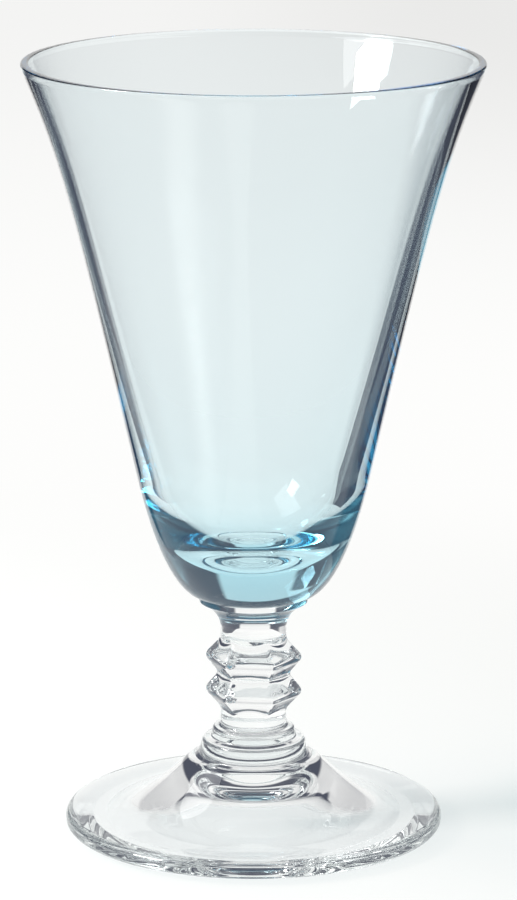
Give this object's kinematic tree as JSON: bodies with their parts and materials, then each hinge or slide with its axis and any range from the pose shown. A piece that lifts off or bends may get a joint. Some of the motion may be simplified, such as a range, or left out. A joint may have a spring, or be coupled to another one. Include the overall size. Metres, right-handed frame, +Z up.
{
  "type": "footed juice glass",
  "caption": "Footed juice glass with a flared pale blue bowl on a clear stem with six-sided knops and sloping rings, and a clear hollow foot.",
  "frame": {"origin": "centre of the foot's underside, on the table that the glass stands on", "axes": "+Z up along the glass's axis, from the foot to the rim; +X and +Y are level"},
  "size_m": [0.074, 0.074, 0.127],
  "materials": {
    "blue_glass": "polished pale blue blown glass, deeper in the thick base",
    "clear_stem_glass": "fire-polished clear pressed glass",
    "clear_foot_glass": "fire-polished clear glass"
  },
  "bodies": {
    "root": {"bowl": "blue_glass", "stem": "clear_stem_glass", "foot": "clear_foot_glass"}
  },
  "joints": []
}
